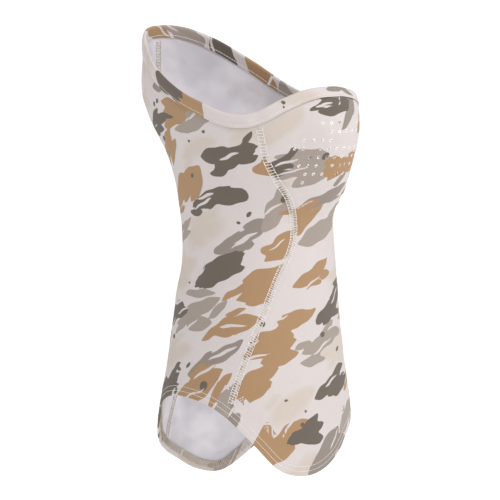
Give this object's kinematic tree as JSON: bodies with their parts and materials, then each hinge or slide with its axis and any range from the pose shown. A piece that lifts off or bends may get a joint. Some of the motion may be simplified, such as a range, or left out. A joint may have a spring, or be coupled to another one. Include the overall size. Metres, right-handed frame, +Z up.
{
  "type": "neck gaiter",
  "caption": "Shaped stretch-knit neck gaiter with a nose and mouth cup, bound top edge, narrow throat and lobed front and back hem.",
  "frame": {"origin": "middle of the throat, at its narrowest ring, where the wearer's neck holds the gaiter", "axes": "+Z up the neck, the face looks along -Y, the wearer's left is +X"},
  "size_m": [0.1852, 0.2393, 0.4353],
  "materials": {
    "printed_knit": "matt fine knit, brush-stroke print outside, cool white inside",
    "binding_knit": "matt fine knit, printed on both visible sides",
    "pale_thread": "soft textured sewing thread",
    "looper_thread": "soft textured sewing thread"
  },
  "bodies": {
    "root": {"front_panel": "printed_knit", "right_side_panel": "printed_knit", "left_side_panel": "printed_knit", "top_binding": "binding_knit", "front_right_seam_cover_thread": "pale_thread", "front_left_seam_cover_thread": "pale_thread", "centre_back_seam_cover_thread": "pale_thread", "front_right_seam_looper_thread": "looper_thread", "front_left_seam_looper_thread": "looper_thread", "centre_back_seam_looper_thread": "looper_thread", "binding_topstitch": "pale_thread", "binding_join_stitch": "pale_thread", "hem_upper_needle_thread": "pale_thread", "hem_lower_needle_thread": "pale_thread", "hem_looper_thread": "looper_thread"}
  },
  "joints": []
}
